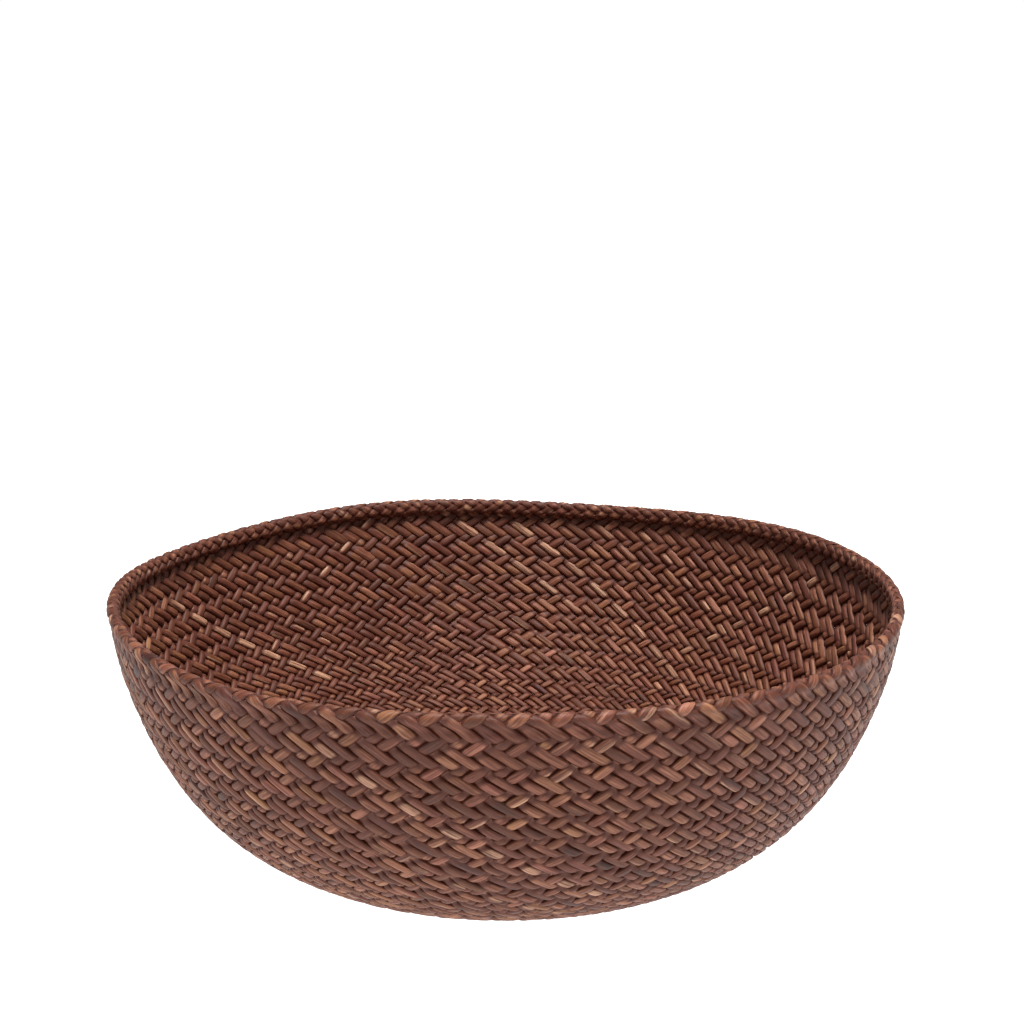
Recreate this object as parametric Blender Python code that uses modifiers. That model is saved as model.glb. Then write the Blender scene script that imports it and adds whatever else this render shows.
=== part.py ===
"""A plaited fruit basket: a round bowl plaited in one sheet from 144 flat stems.

Half of the stems run one way through the foot, called lengthwise here, and half run crosswise. They lie along the
diagonals between X and Y. The foot is a square mat set cornerwise to its stems. At its four corners the stems of
neighbouring sides turn up and cross, so on the wall every stem leans, to the left at one of its ends and to the right
at the other. At the rim all of them fold inwards over a thin core hoop and end as a short hem inside.

A node is a bundle of four neighbouring stems, one repeat of the twill, made as one ribbon with folded ends. The
ribbons lie in two layers: an end that leans right is in the outer layer, one that leans left is in the inner layer,
and a ribbon changes layer where it passes the middle of its run.
"""

import math

import bpy
import numpy as np

# Sizes in metres. The bowl is turned about Z and stands on z = 0.
RIM_RADIUS = 0.150
HEIGHT = 0.101
FOOT_RADIUS = 0.059  # the flat part that it stands on
FOOT_SWING = 0.052  # how far the curve keeps low beyond the foot
RIM_SWING = 0.060  # how far down from the rim the wall keeps its slope
RIM_FLARE = math.radians(10.4)  # the wall's slope from upright at the rim

LAYER = 0.0006  # thickness of a ribbon
LAYER_GAP = 0.0006  # between the two layers
CORE_RADIUS = 0.0005  # the hoop in the fold of the rim
CLEARANCE = 0.0003
HEM_DEPTH = 0.0050
HEM_TUCK = math.radians(15)  # how far the hem leans back to the wall

# The plait. Distances along and across it are counted in stems, and one stem on the mat is one unit.
STEMS = 144
MAT_HALF = STEMS // 4  # from the mat's middle to its corners
BUNDLE = 4  # stems in a ribbon
SIDE_GAP = 0.06  # left free on each side of a ribbon
AXIS_GAP = 0.34  # the same beside the mat's diagonals and at its corners
RAMP = 0.22  # a ribbon changes layer between -RAMP and RAMP
MAT_CORNER_RADIUS = 0.084  # where the mat's corners would be if the foot stayed flat
WALL_LEAN = math.radians(53)  # a stem's lean from upright on the wall
MAT_TURN = math.pi / 4  # turns the mat so that its sides, not its corners, face along X and Y
FACETS = 14  # in half a ribbon, from its ramp to the fold
LEAST_BEND = 0.8  # bend per metre that a flat stretch counts for where the facets are shared out
COLUMNS = 3  # points across a ribbon
FOLD_STEPS = 5

HALF_WALL = LAYER_GAP / 2 + LAYER
LAYER_OFFSET = (LAYER_GAP + LAYER) / 2
FOLD_RADIUS = HALF_WALL + CLEARANCE + CORE_RADIUS
FOLD_CENTRE = (RIM_RADIUS - FOLD_RADIUS - HALF_WALL, HEIGHT - FOLD_RADIUS - HALF_WALL)
FOLD_ANGLE = math.pi + HEM_TUCK

# The plait is laid out on a round plane first, where the mat's corners are at 1, i, -1 and -i.
# From its middle to a corner the mat measures the integral of (1 - t^4)^(-1/4) from 0 to 1, which is this:
MAT_MEASURE = math.pi / (2 * math.sqrt(2))
UNIT = MAT_MEASURE / MAT_HALF
CORNER_PUSH = 0.45  # how strongly and how far the stems are eased apart round a corner, in the plane's measure
CORNER_REACH = 0.2

STEM_COLOURS = {"lengthwise": (0.16, 0.072, 0.042, 1), "crosswise": (0.12, 0.052, 0.033, 1)}
CORE_COLOUR = (0.30, 0.19, 0.10, 1)


def bezier(ends, steps):
    """Points of a cubic curve, without its first one."""
    t = np.linspace(0, 1, steps + 1)[1:, None]
    a, b, c, d = ends
    return (1 - t) ** 3 * a + 3 * (1 - t) ** 2 * t * b + 3 * (1 - t) * t**2 * c + t**3 * d


def make_profile():
    """The middle of the wall, as rows of radius and height: foot, wall, fold over the core, and hem."""
    foot = np.array([(radius, HALF_WALL) for radius in np.linspace(0, FOOT_RADIUS, 40)])
    outward = np.array([math.cos(RIM_FLARE), -math.sin(RIM_FLARE)])
    upward = np.array([math.sin(RIM_FLARE), math.cos(RIM_FLARE)])
    rim = np.array(FOLD_CENTRE) + FOLD_RADIUS * outward
    swing = foot[-1] + np.array([FOOT_SWING, 0])
    wall = bezier((foot[-1], swing, rim - RIM_SWING * upward, rim), 200)
    turns = np.linspace(0, FOLD_ANGLE, 25)[1:, None]
    fold = np.array(FOLD_CENTRE) + FOLD_RADIUS * (np.cos(turns) * outward + np.sin(turns) * upward)
    along_hem = math.cos(FOLD_ANGLE) * upward - math.sin(FOLD_ANGLE) * outward
    hem = fold[-1] + np.linspace(0, HEM_DEPTH, 11)[1:, None] * along_hem
    return np.concatenate([foot, wall, fold, hem])


PROFILE = make_profile()
ARC = np.concatenate([[0], np.cumsum(np.hypot(*np.diff(PROFILE, axis=0).T))])
FOLD_START = ARC[-1] - HEM_DEPTH - FOLD_RADIUS * FOLD_ANGLE


def make_spread():
    """The round plane's radius at each arc length in ARC.

    Over the foot it grows as on a flat disc. On the wall it grows faster for each turn of the bowl, which packs the
    rows closer than the columns until the stems lean by WALL_LEAN.
    """
    middle = (ARC[1:] + ARC[:-1]) / 2
    radius = (PROFILE[1:, 0] + PROFILE[:-1, 0]) / 2
    rise = np.clip((middle - FOOT_RADIUS) / FOOT_SWING, 0, 1)
    row_height = 1 + (1 / math.tan(WALL_LEAN) - 1) * rise**2 * (3 - 2 * rise)
    growth = np.diff(ARC) / (radius * row_height)
    spread = ARC / MAT_CORNER_RADIUS
    last_flat = np.count_nonzero(ARC <= FOOT_RADIUS + 1e-9) - 1
    spread[last_flat + 1 :] = spread[last_flat] * np.exp(np.cumsum(growth[last_flat:]))
    return spread


SPREAD = make_spread()


def on_bowl(points, offset):
    """The places on the bowl of points of the round plane, moved out from the middle of the wall by offset."""
    arcs = np.interp(abs(points), SPREAD, ARC)
    reach = 0.0002
    behind, here, ahead = (
        np.array([np.interp(arcs + shift, ARC, PROFILE[:, axis]) for axis in (0, 1)])
        for shift in (-reach, 0, reach)
    )
    slope = (ahead - behind) / np.hypot(*(ahead - behind))
    turned = points / abs(points) * (here[0] + slope[1] * offset)
    return np.stack([turned.real, turned.imag, here[1] - slope[0] * offset], axis=-1)


def heading(point, last):
    """Direction of the lengthwise stems at a point of the round plane.

    It is the fourth root of 1 - point^4, and of the four roots the one nearest to the last heading. So the stems
    cross squarely everywhere, run straight in the middle, and turn only near the mat's corners.
    """
    root = (1 - point**4) ** 0.25
    return min((root * 1j**turn for turn in range(4)), key=lambda choice: abs(choice - last))


def advance(point, last, step):
    """One Runge-Kutta step over the plait, to the next point and the heading there."""
    first = heading(point, last)
    second = heading(point + step * first / 2, first)
    third = heading(point + step * second / 2, second)
    fourth = heading(point + step * third, third)
    point += step * (first + 2 * second + 2 * third + fourth) / 6
    return point, heading(point, fourth)


def eased(points):
    """Points moved away from the mat's corners, where the plane would squeeze the stems."""
    moved = points.copy()
    for corner in (1, 1j, -1, -1j):
        away = points - corner
        distance = abs(away)
        moved += away / distance**0.25 * CORNER_PUSH * np.exp(-distance / CORNER_REACH)
    return moved


def course(row):
    """Half a lengthwise stem that lies row stems off the mat's middle, from its middle to the end of its hem.

    Returns the distances from the middle along it, in stems, and the points in the round plane.
    """
    point, last = 0j, 1 + 0j
    for step in np.diff(row * np.sin(np.linspace(0, math.pi / 2, 201))):
        point, last = advance(point, last, step * UNIT * 1j)
    distances, points = [0.0], [point]
    while abs(point) < SPREAD[-1]:
        corner_distance = abs(1 - point**4) ** 0.75 / (3 * UNIT)
        step = min(max(corner_distance / 4, 0.02), 0.5)
        point, last = advance(point, last, step * UNIT)
        distances.append(distances[-1] + step)
        points.append(point)
    return np.array(distances), eased(np.array(points))


def share_out(distances, points, last):
    """Distances from the ramp to last that cut a stem into facets which all stray equally far from the curve."""
    lengths = np.linalg.norm(np.diff(on_bowl(points, 0), axis=0), axis=1)
    ways = np.diff(on_bowl(points, 0), axis=0) / lengths[:, None]
    bends = np.linalg.norm(np.diff(ways, axis=0, append=ways[-1:]), axis=1)
    weights = np.concatenate([[0], np.cumsum(np.sqrt(lengths * (bends + LEAST_BEND * lengths)))])
    ends = np.interp([RAMP, last], distances, weights)
    return np.interp(np.linspace(*ends, FACETS + 1), weights, distances)


def ribbon_half(rows):
    """The round plane's points of half a ribbon: for each station from its ramp to its hem, one for each row."""
    fold_arcs = FOLD_START + FOLD_RADIUS * FOLD_ANGLE * np.arange(1, FOLD_STEPS + 1) / FOLD_STEPS
    columns = []
    for row in rows:
        distances, points = course(row)
        arcs = np.interp(abs(points), SPREAD, ARC)
        up_wall = share_out(distances, points, np.interp(FOLD_START, arcs, distances))
        over_rim = np.interp([*fold_arcs, ARC[-1]], arcs, distances)
        columns.append(np.interp(np.concatenate([up_wall, over_rim]), distances, points))
    return np.array(columns).T


def ribbon_mesh(number):
    """The middle surface of the ribbon that is number bundles off the mat's middle."""
    low, high = number * BUNDLE, (number + 1) * BUNDLE
    low += AXIS_GAP if number == 0 else SIDE_GAP
    high -= AXIS_GAP if high == MAT_HALF else SIDE_GAP
    right = ribbon_half(np.linspace(low, high, COLUMNS))
    left = -np.conj(right[::-1])
    places = np.concatenate([on_bowl(left.ravel(), -LAYER_OFFSET), on_bowl(right.ravel(), LAYER_OFFSET)])
    faces = []
    for station in range(2 * len(right) - 1):
        for column in range(COLUMNS - 1):
            corner = station * COLUMNS + column
            faces.append((corner, corner + 1, corner + COLUMNS + 1, corner + COLUMNS))
    mesh = bpy.data.meshes.new(f"ribbon_{number + 1}")
    mesh.from_pydata(places.tolist(), [], faces)
    return mesh


def add_material(name, colour, roughness):
    material = bpy.data.materials.new(name)
    material.use_nodes = True
    shader = material.node_tree.nodes["Principled BSDF"]
    shader.inputs["Base Color"].default_value = colour
    shader.inputs["Roughness"].default_value = roughness
    shader.inputs["Metallic"].default_value = 0.0
    return material


def add_ribbon(name, mesh, quarter_turns, material, collection):
    """A ribbon of real thickness, turned about Z to its place."""
    ribbon = bpy.data.objects.new(name, mesh)
    collection.objects.link(ribbon)
    ribbon.rotation_euler.z = MAT_TURN + quarter_turns * math.pi / 2
    ribbon.material_slots[0].link = "OBJECT"
    ribbon.material_slots[0].material = material
    shell = ribbon.modifiers.new("stem_thickness", "SOLIDIFY")
    shell.thickness = LAYER
    shell.offset = 0.0
    shell.use_even_offset = True
    flats = ribbon.modifiers.new("short_diagonals", "TRIANGULATE")
    flats.quad_method = "SHORTEST_DIAGONAL"
    return ribbon


def add_core(material, collection):
    bpy.ops.mesh.primitive_torus_add(
        major_radius=FOLD_CENTRE[0], minor_radius=CORE_RADIUS, major_segments=72, minor_segments=6,
        location=(0, 0, FOLD_CENTRE[1]),
    )
    core = bpy.context.object
    core.name = "rim_core"
    core.data.materials.append(material)
    core.data.shade_smooth()
    for owner in core.users_collection:
        owner.objects.unlink(core)
    collection.objects.link(core)
    return core


def main():
    for old in list(bpy.data.objects):
        bpy.data.objects.remove(old)
    basket = bpy.data.collections.new("fruit_basket")
    bpy.context.scene.collection.children.link(basket)
    materials = {way: add_material(f"{way}_stem", colour, 0.6) for way, colour in STEM_COLOURS.items()}
    bundles = MAT_HALF // BUNDLE
    for number in range(bundles):
        mesh = ribbon_mesh(number)
        mesh.materials.append(None)
        for quarter_turns in range(4):
            way = ("lengthwise", "crosswise")[quarter_turns % 2]
            # Half a turn takes a ribbon to the other side of the middle.
            side = 1 if quarter_turns in (0, 3) else -1
            place = bundles + number + 1 if side > 0 else bundles - number
            add_ribbon(f"{way}_stems_{place:02d}", mesh, quarter_turns, materials[way], basket)
    add_core(add_material("core_cane", CORE_COLOUR, 0.7), basket)


main()
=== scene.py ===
"""Looks of a plaited fruit basket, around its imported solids.

Every one of the 144 stems is modelled from end to end, passing over and under the others in a twill. Four
neighbouring stems make a piece, which stands for the ribbon of the same place.
"""

import math

import bpy
import numpy as np
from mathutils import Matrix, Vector


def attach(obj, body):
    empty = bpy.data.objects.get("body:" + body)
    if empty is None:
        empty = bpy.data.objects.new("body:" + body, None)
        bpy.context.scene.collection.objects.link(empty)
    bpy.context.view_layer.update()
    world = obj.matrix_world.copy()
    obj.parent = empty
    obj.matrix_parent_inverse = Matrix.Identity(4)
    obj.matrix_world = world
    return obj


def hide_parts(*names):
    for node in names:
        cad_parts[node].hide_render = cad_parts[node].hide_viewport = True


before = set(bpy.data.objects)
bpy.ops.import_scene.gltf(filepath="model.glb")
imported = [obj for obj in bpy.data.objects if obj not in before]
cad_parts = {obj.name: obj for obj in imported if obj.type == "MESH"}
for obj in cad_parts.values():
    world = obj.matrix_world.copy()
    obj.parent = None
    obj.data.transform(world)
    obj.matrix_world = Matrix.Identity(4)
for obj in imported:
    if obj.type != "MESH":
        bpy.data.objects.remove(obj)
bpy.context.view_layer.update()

# Sizes in metres, as in the solids, but for the hem, which is shallower here and leans in closer to the wall. The
# bowl is turned about Z and stands on z = 0.
RIM_RADIUS = 0.150
HEIGHT = 0.101
FOOT_RADIUS = 0.059
FOOT_SWING = 0.052
RIM_SWING = 0.060
RIM_FLARE = math.radians(10.4)
HALF_WALL = 0.0009
FOLD_RADIUS = 0.0017
FOLD_CENTRE = (RIM_RADIUS - FOLD_RADIUS - HALF_WALL, HEIGHT - FOLD_RADIUS - HALF_WALL)
FOLD_ANGLE = math.pi + math.radians(24)
HEM_DEPTH = 0.0040
CORE_RADIUS = 0.0005
FOOT_ROWS, WALL_ROWS, FOLD_ROWS, HEM_ROWS = 40, 200, 24, 10  # how finely the profile is drawn
PROFILE_END = 0.004  # how far the profile runs on beyond the hem, so that a stem's last station has a place
SLOPE_REACH = 0.0002  # to each side of a place, for the wall's slope there
# The stitches that hold the hem down draw the wall in along a line.
PINCH = 0.0008
PINCH_HEIGHT = HEIGHT - 0.0058
PINCH_REACH = 0.0016
# The rim of a basket plaited by hand isn't quite level: waves round it, as (count, height, azimuth of a crest).
RIM_WAVES = (
    (1, 0.00045, -1.48),
    (2, 0.00080, 0.11),
    (3, 0.00028, 0.36),
    (4, 0.00092, 0.27),
    (5, 0.00057, -0.47),
)

# The plait, counted in stems.
MAT_HALF = 36
BUNDLE = 4
MAT_CORNER_RADIUS = 0.084
WALL_LEAN = math.radians(53)
MAT_TURN = math.pi / 4
MAT_MEASURE = math.pi / (2 * math.sqrt(2))
UNIT = MAT_MEASURE / MAT_HALF
CORNER_PUSH = 0.45  # how strongly the stems are spread round the mat's corners
CORNER_REACH = 0.2
START_STEPS = 200  # from the mat's middle to the outermost course
FINEST_STEP = 0.002  # along a course, in stems, close to a corner of the mat
LONGEST_STEP = 0.5
# The stems don't keep exactly to their places: waves of the plait, as (count, size, turns with the radius, phase).
DRIFT = ((2, 0.0035, 1.1, 0.4), (3, 0.0040, -1.7, 2.1), (5, 0.0030, 2.3, 4.0), (8, 0.0022, -3.1, 1.2))
DRIFT_SKEW = 1.3  # of the waves' crosswise part against the lengthwise part

# One stem.
HALF_WIDTH = 0.49  # of the room that a stem has between its neighbours
HALF_THICKNESS = 0.00045
WIDTH_RANGE = (0.96, 1.04)  # of a stem, as shares of its room
LIFT = 0.00037  # from the middle of the wall to the middle of a stem that lies on top
# A float rises and swells away from its ends, and its painted shade fades: distances from the nearer end in stems,
# shares of LIFT, of width and of the painted shade in the seams.
SWELL = (
    (0, 0, 0.58, 1),
    (0.22, 0.70, 0.88, 0.62),
    (0.5, 1.04, 1.02, 0.08),
    (0.8, 1.12, 1.05, 0),
    (1.5, 1.15, 1.05, 0),
)
BLADE = 1.10  # how far a stem's thin edges reach, as a share of HALF_WIDTH
LAST_BLADE = 1.5  # the same for the stems that pass next to the mat's corners, where the plait opens a little
DROOP = 0.35  # the share of its lift that a stem keeps at its thin edges
# How far the plait stands out, at distances from the mat's middle: pressed flat in the foot and again in the hem.
RELIEF = ((0, 1), (FOOT_RADIUS, 1), (0.085, 1.7), (0.186, 1.7), (0.196, 1.0), (0.206, 0.9), (0.216, 0.7))
TILT = 0.00004  # how far one edge of a float stands above the other, on average
SHIFT = 0.02  # how far a float lies to one side, on average, as a share of a stem
UNEVEN = 0.00003  # how much floats differ in height
FLOAT_TONE = 0.18  # how much floats differ in shade, on the scale of STREAK_CONTRAST
FLOAT_HUE = 0.14  # and in how red they are, where 1 is from the reddest to the most olive
STEM_TONE = 0.16  # the same for whole stems
STEM_HUE = 0.12
HEM_RING = 67  # the first ring of crossings on the fold, from which on the stems go over one and under one
END_CUT = 0.35  # how much the cut ends in the hem differ in length, counted in stems
# Across the stem and through it, from one edge over the inner face to the other edge and back over the outer face.
FACE = np.array([-0.58, 0, 0.58])
ACROSS = np.concatenate([[-1], FACE, [1], FACE[::-1]])
CROWN = np.array([0.72, 1.1, 0.72])  # height of one face over the middle of the stem
RIDGES = np.array([0.10, -0.20, 0.10])  # added where the stem has its full groove
GROOVES = [2, 6]  # the middle of each face in ACROSS
GROOVE_SIDE = (-0.2, 0.2)  # how far a stem's groove lies off its middle
GROOVE_DEPTH = (0.2, 1.1)
PALE_SHARE = 0.03  # of the stems, which took less dye
SPLIT_SHARE = 0.10  # of the stems, which show a strip of bare core along one edge

# The dye. A stem is 2 wide in the pattern's second direction, and about 3.3 mm wide.
STREAKS = (1 / 0.010, 3.4, 1)  # how often the fibres' streaks come, by metres along, across, and from stem to stem
BLOTCHES = (1 / 0.016, 0.3, 1)
STREAK_CONTRAST = 2.9  # on a scale where 2 is from the deepest shade to the lightest
BLOTCH_CONTRAST = 0.9
REDDER = "#fff0ff"
MORE_OLIVE = "#f6ffd8"
BARE_CORE = "#c79a7c"
# The colour of the painted shade in the seams between stems.
PAINTED_SEAM_SHADE = "#54291b"

# Parts of stems that show nearly bare: the stem's number, from where to where in crossings off the mat's middle,
# and how bare it is. Each part fades out over a few crossings at its ends.
BARE_PARTS = ((125, -78, -48, 0.8), (81, -93, -70, 0.6), (111, 62, 95, 0.7))
BARE_FADE = 3
PALENESS = (0.5, 0.9)  # of a stem that took less dye
PATCH_RANGE = (0.02, 0.05)  # metres along the stem, for the waves of its patches
PATCH_PHASES = (0, 6.28)
SPLIT_EDGE = 0.5  # where across the stem its bare strip begins
SPLIT_SHOW = 0.8
STEM_APART = 3.7  # steps through the pattern from stem to stem, so that no two have the same streaks

# The studio and the camera.
FLOOR_SIZE = 12
SOFTBOX_PLACE = (0.12, -0.16, 1.38)
SOFTBOX_TARGET = (0, 0, 0.05)
SOFTBOX_SIZE = 0.5
SOFTBOX_POWER = 29  # watts
LENS = 57.7  # millimetres
SENSOR_WIDTH = 36
EYE_DISTANCE = 0.633
EYE_ELEVATION = math.radians(15.74)
EYE_PITCH = math.radians(13.32)
EYE_SIDEWAYS = 0.0023
EYE_BASE = 0.1007  # the height of the rim's middle, which the eye is raised from

SEED = 11
STATIONS = np.array([0, 0.22, 0.5, 0.78])  # in each crossing


def bezier(ends, steps):
    """Points of a cubic curve, without its first one."""
    t = np.linspace(0, 1, steps + 1)[1:, None]
    a, b, c, d = ends
    return (1 - t) ** 3 * a + 3 * (1 - t) ** 2 * t * b + 3 * (1 - t) * t**2 * c + t**3 * d


def make_profile():
    """The middle of the wall, as rows of radius and height: foot, wall, fold over the core, and hem."""
    foot = np.array([(radius, HALF_WALL) for radius in np.linspace(0, FOOT_RADIUS, FOOT_ROWS)])
    outward = np.array([math.cos(RIM_FLARE), -math.sin(RIM_FLARE)])
    upward = np.array([math.sin(RIM_FLARE), math.cos(RIM_FLARE)])
    rim = np.array(FOLD_CENTRE) + FOLD_RADIUS * outward
    swing = foot[-1] + np.array([FOOT_SWING, 0])
    wall = bezier((foot[-1], swing, rim - RIM_SWING * upward, rim), WALL_ROWS)
    turns = np.linspace(0, FOLD_ANGLE, FOLD_ROWS + 1)[1:, None]
    fold = np.array(FOLD_CENTRE) + FOLD_RADIUS * (np.cos(turns) * outward + np.sin(turns) * upward)
    along_hem = math.cos(FOLD_ANGLE) * upward - math.sin(FOLD_ANGLE) * outward
    hem = fold[-1] + np.linspace(0, HEM_DEPTH, HEM_ROWS + 1)[1:, None] * along_hem
    beyond = hem[-1] + PROFILE_END * along_hem
    return np.concatenate([foot, wall, fold, hem, [beyond]])


PROFILE = make_profile()
ARC = np.concatenate([[0], np.cumsum(np.hypot(*np.diff(PROFILE, axis=0).T))])
HEM_END = ARC[-2]


def make_spread():
    """The round plane's radius at each arc length in ARC."""
    middle = (ARC[1:] + ARC[:-1]) / 2
    radius = (PROFILE[1:, 0] + PROFILE[:-1, 0]) / 2
    rise = np.clip((middle - FOOT_RADIUS) / FOOT_SWING, 0, 1)
    row_height = 1 + (1 / math.tan(WALL_LEAN) - 1) * rise**2 * (3 - 2 * rise)
    growth = np.diff(ARC) / (radius * row_height)
    spread = ARC / MAT_CORNER_RADIUS
    last_flat = np.count_nonzero(ARC <= FOOT_RADIUS + 1e-9) - 1
    spread[last_flat + 1 :] = spread[last_flat] * np.exp(np.cumsum(growth[last_flat:]))
    return spread


SPREAD = make_spread()
EDGE = np.interp(HEM_END, ARC, SPREAD)


def sway(azimuth):
    """How far the rim stands above level."""
    return sum(height * np.cos(count * (azimuth - crest)) for count, height, crest in RIM_WAVES)


def on_bowl(points, offsets):
    """The places on the bowl of points of the round plane, moved out from the middle of the wall by offsets."""
    arcs = np.interp(abs(points), SPREAD, ARC)
    behind, here, ahead = (
        np.array([np.interp(arcs + shift, ARC, PROFILE[:, axis]) for axis in (0, 1)])
        for shift in (-SLOPE_REACH, 0, SLOPE_REACH)
    )
    slope = (ahead - behind) / np.hypot(*(ahead - behind))
    azimuth = np.angle(points)
    radius = here[0] + slope[1] * offsets
    height = here[1] - slope[0] * offsets
    radius = radius - PINCH * np.exp(-(((height - PINCH_HEIGHT) / PINCH_REACH) ** 2))
    height = height + sway(azimuth) * np.clip(height / HEIGHT, 0, 1) ** 2
    return np.stack([radius * np.cos(azimuth), radius * np.sin(azimuth), height], axis=-1)


def heading(points, last):
    """Direction of the lengthwise stems: of the fourth roots of 1 - point^4, those nearest to the last ones."""
    roots = (1 - points**4)[:, None] ** 0.25 * np.array([1, 1j, -1, -1j])
    nearest = np.argmin(abs(roots - last[:, None]), axis=1)
    return roots[np.arange(len(points)), nearest]


def advance(points, last, steps):
    """One Runge-Kutta step over the plait, to the next points and the headings there."""
    first = heading(points, last)
    second = heading(points + steps * first / 2, first)
    third = heading(points + steps * second / 2, second)
    fourth = heading(points + steps * third, third)
    points = points + steps * (first + 2 * second + 2 * third + fourth) / 6
    return points, heading(points, fourth)


def eased(points):
    """Points moved away from the mat's corners, where the plane would squeeze the stems."""
    moved = points.copy()
    for corner in (1, 1j, -1, -1j):
        away = points - corner
        distance = abs(away)
        moved += away / distance**0.25 * CORNER_PUSH * np.exp(-distance / CORNER_REACH)
    reach = np.maximum(abs(moved), 1e-9)
    drift = 0
    for count, share, winding, phase in DRIFT:
        wave = count * np.angle(moved) + winding * np.log(reach) + phase
        inside = np.minimum(reach, 1) ** count
        drift = drift + share * inside * (np.cos(wave) + 1j * np.sin(DRIFT_SKEW * phase + wave))
    return moved * np.exp(drift)


def courses(rows):
    """The round plane's points along half stems that lie rows off the mat's middle, one every quarter crossing."""
    points = np.zeros(len(rows), complex)
    last = np.ones(len(rows), complex)
    # The first points lie on the mat's middle line, and are reached by steps that shorten towards its corner.
    for share in np.diff(np.sin(np.linspace(0, math.pi / 2, START_STEPS + 1))):
        points, last = advance(points, last, share * rows * UNIT * 1j)
    distances, places = [np.zeros(len(rows))], [points]
    while abs(points).min() < SPREAD[-1]:
        corner_distance = abs(1 - points**4) ** 0.75 / (3 * UNIT)  # to the nearest corner of the mat, in stems
        steps = np.clip(corner_distance / 4, FINEST_STEP, LONGEST_STEP)
        points, last = advance(points, last, steps * UNIT)
        distances.append(distances[-1] + steps)
        places.append(points)
    distances, places = np.array(distances).T, np.array(places).T
    quarters = np.arange(0, int(distances[:, -1].min() * 4)) / 4
    return eased(np.array([np.interp(quarters, *pair) for pair in zip(distances, places)]))


def left_inside(crossing, stem, leaning_left):
    """Whether the stem that leans left lies on the inner side, at the crossings of half a stem.

    Rings of crossings are counted outwards from the mat's edge. The twill repeats every four rings: the stems that
    lean left go over three and over two in turn, and so the others go over one and over two.
    """
    ring = crossing + stem - MAT_HALF + 1
    left_stem = stem if leaning_left else crossing
    twill = (ring % 4 < 2) | ((ring % 4 == 2) & (left_stem % 2 == 1))
    return np.where(ring < HEM_RING, twill, ring % 2 == 0)


def half_levels(stem, count, leaning_left):
    """1 where half a stem lies on the outer side at a crossing and -1 where it lies on the inner side."""
    inside = left_inside(np.arange(count), stem, leaning_left)
    return np.where(inside == leaning_left, -1, 1)


def whole_levels(stem, count):
    """The levels of a stem's crossings, from the end that leans left over the mat's middle to the other end."""
    return np.concatenate([half_levels(stem, count, True)[::-1], half_levels(stem, count, False)])


def laid_out(row, distances):
    """Points of the round plane on one row, at distances from the mat's middle that are negative to the left."""
    quarters = np.arange(len(row)) / 4
    points = np.interp(abs(distances), quarters, row)
    return np.where(distances < 0, -np.conj(points), points)


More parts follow.
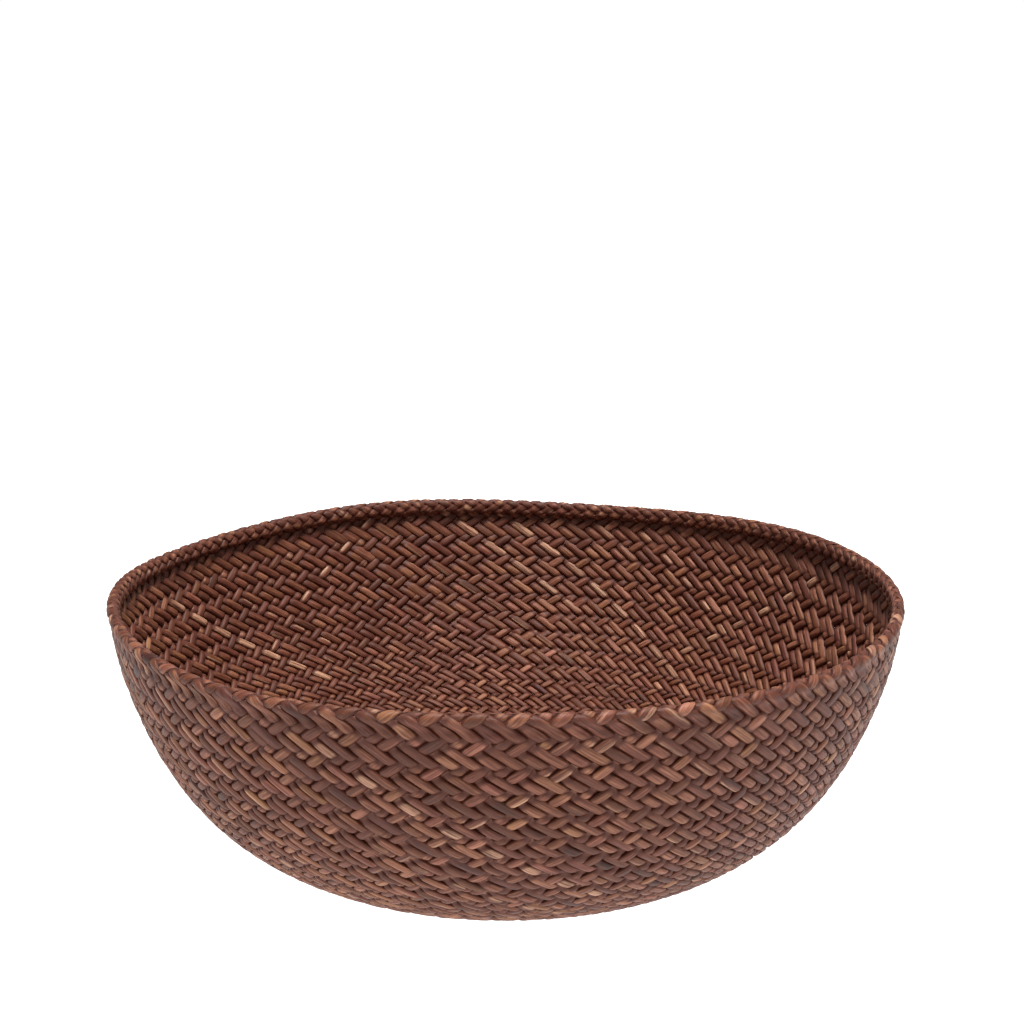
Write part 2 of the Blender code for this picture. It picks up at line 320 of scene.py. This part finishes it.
class Stem:
    """A stem of its own width, groove and dye, as arrays with a row for each station along it."""

    def __init__(self, index, rows, turn, number):
        self.random = np.random.default_rng([SEED, number])
        self.number = number
        self.blade = LAST_BLADE if index in (0, MAT_HALF - 1) else BLADE
        ends = np.interp(EDGE, abs(rows[1]), np.arange(len(rows[1])) / 4)
        cuts = ends + END_CUT * self.random.uniform(-1, 0, 2)
        count = math.ceil(ends)
        crossings = np.arange(-count, count)
        distances = (crossings[:, None] + STATIONS).ravel()
        kept = (distances > -cuts[0]) & (distances < cuts[1])
        self.lay_levels(whole_levels(index, count))
        self.distances = np.concatenate([[-cuts[0]], distances[kept], [cuts[1]]])
        for name in ("lift", "width", "tone", "hue", "tilt", "shift", "buried_shade"):
            values = getattr(self, name)
            setattr(self, name, np.interp(self.distances, distances, values))
        low, middle, high = (laid_out(row, self.distances) * turn for row in rows)
        self.middle = middle
        self.half = (high - low) / 2
        self.bow = (high + low) / 2 - middle

    def lay_levels(self, levels):
        """Lift, width, tone, hue, tilt, shift and painted seam shade at the stations of each crossing. Each float
        draws its own.
        """
        starts = np.concatenate([[False], levels[1:] != levels[:-1]])
        floats = np.cumsum(starts)
        bounds = np.concatenate([[0], np.flatnonzero(starts), [len(levels)]])
        along = np.arange(len(levels))[:, None] + STATIONS
        inward = np.minimum(along - bounds[floats, None], bounds[floats + 1, None] - along).ravel()
        ends, rise, width, dark = np.transpose(SWELL)

        def drawn(spread):
            values = self.random.normal(0, spread, floats[-1] + 1)[floats]
            before = np.concatenate([values[:1], values[:-1]])
            return np.stack([(values + before) / 2] + [values] * (len(STATIONS) - 1), axis=1).ravel()

        self.lift = LIFT * np.repeat(levels, len(STATIONS)) * np.interp(inward, ends, rise) + drawn(UNEVEN)
        self.width = np.interp(inward, ends, width)
        self.tone = drawn(FLOAT_TONE)
        self.hue = drawn(FLOAT_HUE)
        # Painted shade that darkens a float towards its ends, where it dives under a crossing stem.
        self.buried_shade = np.interp(inward, ends, dark)
        self.tilt = drawn(TILT)
        self.shift = drawn(SHIFT)

    def mesh_arrays(self):
        """Corner places, faces, and for each corner its distance along and place across the stem, and its painted
        seam shade.
        """
        random = self.random
        width = self.width * random.uniform(*WIDTH_RANGE)
        across = ACROSS.copy()
        across[GROOVES] = random.uniform(*GROOVE_SIDE)
        face = (CROWN + RIDGES * random.uniform(*GROOVE_DEPTH)) * HALF_THICKNESS
        through = np.concatenate([[0], -face, [0], face])
        thin = abs(ACROSS) == 1
        side = np.where(thin, self.blade, width[:, None]) * across + self.shift[:, None]
        points = self.middle[:, None] + side * self.half[:, None] + side**2 * self.bow[:, None]
        offsets = self.lift[:, None] * np.where(thin, DROOP, 1) + through + self.tilt[:, None] * across
        relief = np.interp(np.interp(abs(self.middle), SPREAD, ARC), *np.transpose(RELIEF))
        offsets *= relief[:, None]
        places = on_bowl(points, offsets)
        stations, around = side.shape
        first = np.arange(stations - 1)[:, None] * around + np.arange(around)
        second = np.arange(stations - 1)[:, None] * around + (np.arange(around) + 1) % around
        quads = np.stack([first, first + around, second + around, second], axis=-1).reshape(-1, 4)
        caps = [np.arange(around), (stations - 1) * around + np.arange(around)[::-1]]
        steps = np.linalg.norm(np.diff(places[:, 2], axis=0), axis=1)
        along = np.concatenate([[0], np.cumsum(steps)])
        # Painted shade in the seams: full at the thin edges, and at the ends of floats where they dive under
        # crossing stems.
        crevice_shade = np.where(thin, 1, np.clip(self.buried_shade, 0, 1)[:, None])
        along, across = np.repeat(along, around), np.tile(across, stations)
        return places.reshape(-1, 3), quads, caps, along, across, crevice_shade.ravel()

    def dye(self, along, across):
        """How the dye took at each corner: shade, redness, and where the stem is pale, split or patterned."""
        random = self.random
        around = len(ACROSS)
        own_tone = random.normal(0, STEM_TONE)
        own_hue = random.uniform(-STEM_HUE, STEM_HUE)
        pale = random.uniform(*PALENESS) if random.random() < PALE_SHARE else 0.0
        patchy = 0.5 + 0.5 * np.sin(along / random.uniform(*PATCH_RANGE) + random.uniform(*PATCH_PHASES))
        has_split = random.random() < SPLIT_SHARE
        split_side = random.choice([-1, 1])
        bare = pale * patchy
        for number, first, last, strength in BARE_PARTS:
            if number == self.number:
                within = np.minimum(self.distances - first, last - self.distances)
                bare = np.maximum(bare, strength * np.repeat(np.clip(within / BARE_FADE, 0, 1), around))
        return {
            "tone": np.repeat(self.tone, around) + own_tone,
            "hue": np.clip(0.5 + own_hue + np.repeat(self.hue, around), 0, 1),
            "pale": bare,
            "split": np.where(split_side * across > SPLIT_EDGE, SPLIT_SHOW, 0.0) * has_split * patchy,
            "along_across": np.stack([along, across, np.full(len(along), self.number * STEM_APART)], axis=1),
        }


def add_node(tree, kind, settings=(), links=()):
    """A node of one kind, with its settings and the sockets that feed it.

    A setting named in_NAME or at_NUMBER is the value of the input of that name or number.
    """
    node = tree.nodes.new(kind)
    for name, value in dict(settings).items():
        if name.startswith("in_"):
            node.inputs[name[3:].replace("_", " ")].default_value = value
        elif name.startswith("at_"):
            node.inputs[int(name[3:])].default_value = value
        else:
            setattr(node, name, value)
    for place, source in dict(links).items():
        tree.links.new(source, node.inputs[place])
    return node


def linear(code, alpha=1.0):
    """An sRGB hex colour as the linear values that a shader works with."""
    parts = [int(code[place : place + 2], 16) / 255 for place in (1, 3, 5)]
    return (*[part / 12.92 if part <= 0.04045 else ((part + 0.055) / 1.055) ** 2.4 for part in parts], alpha)


def dyed_palm_stem(name, deepest, usual, lightest):
    """Flattened palm stem, dyed reddish brown and left unvarnished.

    The dye takes unevenly, so every float has its own shade, some redder and some more olive. Fibres run along the
    stem as light and dark streaks, and the skin keeps a satin sheen. Painted shade darkens the seams between stems.
    """
    material = bpy.data.materials.new(name)
    material.use_nodes = True
    tree = material.node_tree
    shader = tree.nodes["Principled BSDF"]
    place, tone, hue, pale, split, crevice_shade = (
        add_node(tree, "ShaderNodeAttribute", {"attribute_name": label})
        for label in ("along_across", "tone", "hue", "pale", "split", "crevice_shade")
    )
    # Fibres are about 0.2 mm wide, too fine to show, so the streaks are drawn 0.5 mm wide and 10 mm long.
    stretched = add_node(
        tree, "ShaderNodeVectorMath", {"operation": "MULTIPLY", "at_1": STREAKS}, {0: place.outputs["Vector"]}
    )
    streaks = add_node(
        tree,
        "ShaderNodeTexNoise",
        {"in_Scale": 1.0, "in_Detail": 3.0, "in_Roughness": 0.6},
        {"Vector": stretched.outputs[0]},
    )
    # Where the dye bath reached less, whole stretches of a stem are lighter.
    blotched = add_node(
        tree, "ShaderNodeVectorMath", {"operation": "MULTIPLY", "at_1": BLOTCHES}, {0: place.outputs["Vector"]}
    )
    blotches = add_node(
        tree, "ShaderNodeTexNoise", {"in_Scale": 1.0, "in_Detail": 1.0}, {"Vector": blotched.outputs[0]}
    )
    streaked = add_node(
        tree,
        "ShaderNodeMath",
        {"operation": "MULTIPLY_ADD", "at_1": STREAK_CONTRAST},
        {0: streaks.outputs["Fac"], 2: tone.outputs["Fac"]},
    )
    uneven = add_node(
        tree,
        "ShaderNodeMath",
        {"operation": "MULTIPLY_ADD", "at_1": BLOTCH_CONTRAST},
        {0: blotches.outputs["Fac"], 2: streaked.outputs[0]},
    )
    centre = (STREAK_CONTRAST + BLOTCH_CONTRAST) / 2
    spread = add_node(
        tree,
        "ShaderNodeMapRange",
        {"in_From_Min": centre - 1, "in_From_Max": centre + 1},
        {"Value": uneven.outputs[0]},
    )
    ramp = add_node(tree, "ShaderNodeValToRGB", {}, {"Fac": spread.outputs[0]})
    ramp.color_ramp.elements[0].color = linear(deepest)
    ramp.color_ramp.elements[1].color = linear(lightest)
    ramp.color_ramp.elements.new(0.5).color = linear(usual)
    tint = add_node(tree, "ShaderNodeValToRGB", {}, {"Fac": hue.outputs["Fac"]})
    tint.color_ramp.elements[0].color = linear(REDDER)
    tint.color_ramp.elements[1].color = linear(MORE_OLIVE)
    dyed = add_node(
        tree,
        "ShaderNodeMix",
        {"data_type": "RGBA", "blend_type": "MULTIPLY", "in_Factor": 1.0},
        {6: ramp.outputs["Color"], 7: tint.outputs["Color"]},
    )
    # Bare core shows between the fibres that hold the dye.
    bare = add_node(
        tree, "ShaderNodeMath", {"operation": "MAXIMUM"}, {0: pale.outputs["Fac"], 1: split.outputs["Fac"]}
    )
    fibrous = add_node(
        tree,
        "ShaderNodeMapRange",
        {"in_From_Min": 0.35, "in_From_Max": 0.6},
        {"Value": streaks.outputs["Fac"]},
    )
    patchy = add_node(
        tree, "ShaderNodeMath", {"operation": "MULTIPLY"}, {0: bare.outputs[0], 1: fibrous.outputs[0]}
    )
    mixed = add_node(
        tree,
        "ShaderNodeMix",
        {"data_type": "RGBA", "at_7": linear(BARE_CORE)},
        {0: patchy.outputs[0], 6: dyed.outputs[2]},
    )
    # Painted shade: the seams where stems meet, and the ends of floats where they dive under crossing stems, are
    # darkened for the shade that falls there.
    seam_shade_mask = add_node(
        tree,
        "ShaderNodeMapRange",
        {"interpolation_type": "SMOOTHSTEP", "in_From_Min": 0.2, "in_From_Max": 0.9},
        {"Value": crevice_shade.outputs["Fac"]},
    )
    seam_shaded = add_node(
        tree,
        "ShaderNodeMix",
        {"data_type": "RGBA", "at_7": linear(PAINTED_SEAM_SHADE)},
        {0: seam_shade_mask.outputs[0], 6: mixed.outputs[2]},
    )
    tree.links.new(seam_shaded.outputs[2], shader.inputs["Base Color"])
    ridges = add_node(
        tree, "ShaderNodeBump", {"in_Strength": 0.6, "in_Distance": 0.0003}, {"Height": streaks.outputs["Fac"]}
    )
    tree.links.new(ridges.outputs["Normal"], shader.inputs["Normal"])
    shader.inputs["Roughness"].default_value = 0.58
    shader.inputs["IOR"].default_value = 1.4
    return material


def add_piece(name, stems, material):
    """One mesh of several whole stems, with the attributes that the dye and the painted seam shade follow."""
    corners, quads, caps = [], [], []
    values = {"tone": [], "hue": [], "pale": [], "split": [], "crevice_shade": [], "along_across": []}
    start = 0
    for stem in stems:
        places, faces, ends, along, across, crevice_shade = stem.mesh_arrays()
        corners.append(places)
        quads.append(faces + start)
        caps += [end + start for end in ends]
        start += len(places)
        values["crevice_shade"].append(crevice_shade)
        for label, looks in stem.dye(along, across).items():
            values[label].append(looks)
    corners, quads = np.concatenate(corners), np.concatenate(quads)
    around = len(ACROSS)
    mesh = bpy.data.meshes.new(name)
    mesh.vertices.add(len(corners))
    mesh.vertices.foreach_set("co", corners.astype(np.float32).ravel())
    loops = np.concatenate([quads.ravel(), np.concatenate(caps)])
    mesh.loops.add(len(loops))
    mesh.loops.foreach_set("vertex_index", loops.astype(np.int32))
    starts = np.concatenate([np.arange(len(quads)) * 4, len(quads) * 4 + np.arange(len(caps)) * around])
    mesh.polygons.add(len(starts))
    mesh.polygons.foreach_set("loop_start", starts.astype(np.int32))
    mesh.update(calc_edges=True)
    mesh.validate()
    mesh.shade_smooth()
    for label, parts in values.items():
        kind = "FLOAT_VECTOR" if label == "along_across" else "FLOAT"
        attribute = mesh.attributes.new(label, kind, "POINT")
        field = "vector" if label == "along_across" else "value"
        attribute.data.foreach_set(field, np.concatenate(parts).astype(np.float32).ravel())
    mesh.materials.append(material)
    piece = bpy.data.objects.new(name, mesh)
    bpy.context.scene.collection.objects.link(piece)
    return piece


def build_stems():
    """Every stem, by quarters of the mat and by bundles of four neighbours."""
    rows = []
    for index in range(MAT_HALF):
        rows += [index + 0.5 - HALF_WIDTH, index + 0.5, index + 0.5 + HALF_WIDTH]
    grid = courses(np.array(rows))
    materials = {
        "lengthwise": dyed_palm_stem("dyed_palm_lengthwise", "#3c1c13", "#6b3a29", "#a87359"),
        "crosswise": dyed_palm_stem("dyed_palm_crosswise", "#391a12", "#683829", "#a47057"),
    }
    bundles = MAT_HALF // BUNDLE
    for quarter in range(4):
        turn = np.exp(1j * (MAT_TURN + quarter * math.pi / 2))
        way = ("lengthwise", "crosswise")[quarter % 2]
        for bundle in range(bundles):
            place = bundles + bundle + 1 if quarter in (0, 3) else bundles - bundle
            stems = []
            for index in range(bundle * BUNDLE, (bundle + 1) * BUNDLE):
                number = quarter * MAT_HALF + index
                stems.append(Stem(index, grid[3 * index : 3 * index + 3], turn, number))
            piece = add_piece(f"plaited_{way}_{place:02d}", stems, materials[way])
            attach(piece, "root")
            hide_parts(f"{way}_stems_{place:02d}")


def split_cane(name):
    """Split cane, pale and dull. The fold hides nearly all of it, so it has one colour."""
    material = bpy.data.materials.new(name)
    material.use_nodes = True
    shader = material.node_tree.nodes["Principled BSDF"]
    shader.inputs["Base Color"].default_value = linear("#94704e")
    shader.inputs["Roughness"].default_value = 0.7
    return material


def add_core():
    """The hoop in the fold, which sways with the rim."""
    bpy.ops.mesh.primitive_torus_add(
        major_radius=FOLD_CENTRE[0],
        minor_radius=CORE_RADIUS,
        major_segments=144,
        minor_segments=10,
        location=(0, 0, FOLD_CENTRE[1]),
    )
    core = bpy.context.object
    bpy.ops.object.transform_apply()
    core.name = "swayed_core"
    for vertex in core.data.vertices:
        x, y, z = vertex.co
        vertex.co.z = z + sway(math.atan2(y, x))
    core.data.materials.append(split_cane("split_cane"))
    core.data.shade_smooth()
    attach(core, "root")
    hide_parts("rim_core")


def glowing_white_paper(name):
    """A white sweep lit from behind: the bowl stands on it with hardly a shadow, and it lights the outside."""
    material = bpy.data.materials.new(name)
    material.use_nodes = True
    shader = material.node_tree.nodes["Principled BSDF"]
    shader.inputs["Base Color"].default_value = linear("#606060")
    shader.inputs["Roughness"].default_value = 0.9
    shader.inputs["IOR"].default_value = 1.1
    shader.inputs["Emission Color"].default_value = linear("#ffffff")
    shader.inputs["Emission Strength"].default_value = 1.45
    return material


def add_softbox():
    light = bpy.data.lights.new("softbox", "AREA")
    light.shape = "DISK"
    light.size = SOFTBOX_SIZE
    light.energy = SOFTBOX_POWER
    lamp = bpy.data.objects.new("softbox", light)
    bpy.context.scene.collection.objects.link(lamp)
    lamp.location = SOFTBOX_PLACE
    lamp.rotation_mode = "QUATERNION"
    lamp.rotation_quaternion = (Vector(SOFTBOX_PLACE) - Vector(SOFTBOX_TARGET)).to_track_quat("Z", "Y")


def add_stage():
    bpy.ops.mesh.primitive_plane_add(size=FLOOR_SIZE)
    floor = bpy.context.object
    floor.name = "floor"
    floor.data.materials.append(glowing_white_paper("white_paper"))
    world = bpy.data.worlds.new("studio")
    bpy.context.scene.world = world
    world.use_nodes = True
    tree = world.node_tree
    background = tree.nodes["Background"]
    background.inputs["Color"].default_value = (1, 1, 1, 1)
    # The studio's walls are white and its ceiling is dimmer.
    direction = add_node(tree, "ShaderNodeTexCoord")
    upward = add_node(tree, "ShaderNodeSeparateXYZ", {}, {0: direction.outputs["Generated"]})
    dimmed = add_node(
        tree,
        "ShaderNodeMapRange",
        {"in_From_Min": 0.08, "in_From_Max": 0.32, "in_To_Min": 1.02, "in_To_Max": 0.24},
        {"Value": upward.outputs["Z"]},
    )
    tree.links.new(dimmed.outputs[0], background.inputs["Strength"])
    add_softbox()
    bpy.context.scene.view_settings.view_transform = "Standard"


def add_camera():
    camera = bpy.data.cameras.new("camera")
    camera.lens = LENS
    camera.sensor_width = SENSOR_WIDTH
    eye = bpy.data.objects.new("camera", camera)
    bpy.context.scene.collection.objects.link(eye)
    eye.location = (
        EYE_SIDEWAYS,
        -EYE_DISTANCE * math.cos(EYE_ELEVATION),
        EYE_BASE + EYE_DISTANCE * math.sin(EYE_ELEVATION),
    )
    eye.rotation_euler = (math.pi / 2 - EYE_PITCH, 0, 0)
    bpy.context.scene.camera = eye


bpy.ops.object.select_all(action="DESELECT")
build_stems()
add_core()
add_stage()
add_camera()
